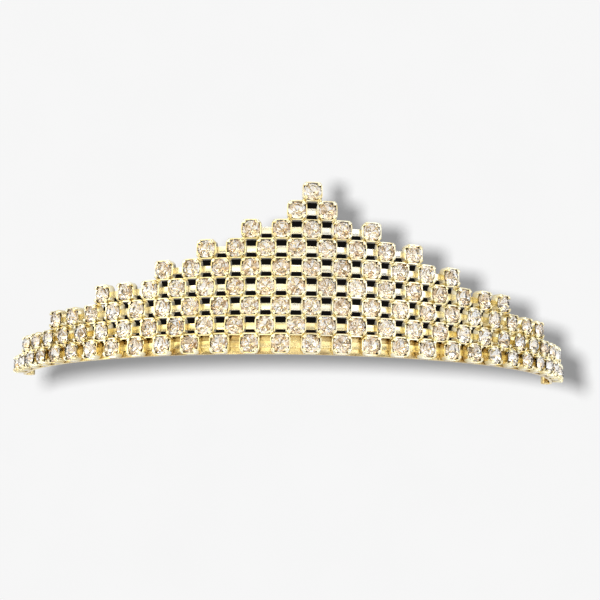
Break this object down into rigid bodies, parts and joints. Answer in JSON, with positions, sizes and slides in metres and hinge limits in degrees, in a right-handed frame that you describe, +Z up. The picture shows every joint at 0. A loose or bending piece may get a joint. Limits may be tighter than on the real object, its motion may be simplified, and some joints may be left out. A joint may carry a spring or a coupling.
{
  "type": "bridal tiara",
  "caption": "Curved bridal tiara of stacked rhinestone cup chain rows that step up to a single stone at the peak, on a slim base band with a rolled eye at each end.",
  "frame": {"origin": "on the surface that the tiara stands on, under the middle of its overall box", "axes": "+X to the right seen from the front, -Y out of the front, +Z up to the peak; the tiara is a mirror image about X = 0"},
  "size_m": [0.1368, 0.0564, 0.0363],
  "materials": {
    "gold_band": "polished pale gold plate on a brass strip",
    "gold_cup": "bright pale gold plate on stamped brass",
    "gold_link": "bright pale gold plate on flat brass",
    "solder": "gold-plated solder beads",
    "crystal": "clear faceted glass with a foil back"
  },
  "bodies": {
    "root": {"base_band": "gold_band", "base_band_solder": "solder", "row_1_cups": "gold_cup", "row_2_cups": "gold_cup", "row_3_cups": "gold_cup", "row_4_cups": "gold_cup", "row_5_cups": "gold_cup", "row_6_cups": "gold_cup", "row_7_cups": "gold_cup", "row_8_cups": "gold_cup", "row_9_cups": "gold_cup", "row_1_stones": "crystal", "row_2_stones": "crystal", "row_3_stones": "crystal", "row_4_stones": "crystal", "row_5_stones": "crystal", "row_6_stones": "crystal", "row_7_stones": "crystal", "row_8_stones": "crystal", "row_9_stones": "crystal", "row_1_links": "gold_link", "row_2_links": "gold_link", "row_3_links": "gold_link", "row_4_links": "gold_link", "row_5_links": "gold_link", "row_6_links": "gold_link", "row_7_links": "gold_link", "row_8_links": "gold_link", "row_1_2_solder": "solder", "row_2_3_solder": "solder", "row_3_4_solder": "solder", "row_4_5_solder": "solder", "row_5_6_solder": "solder", "row_6_7_solder": "solder", "row_7_8_solder": "solder", "row_8_9_solder": "solder"}
  },
  "joints": []
}
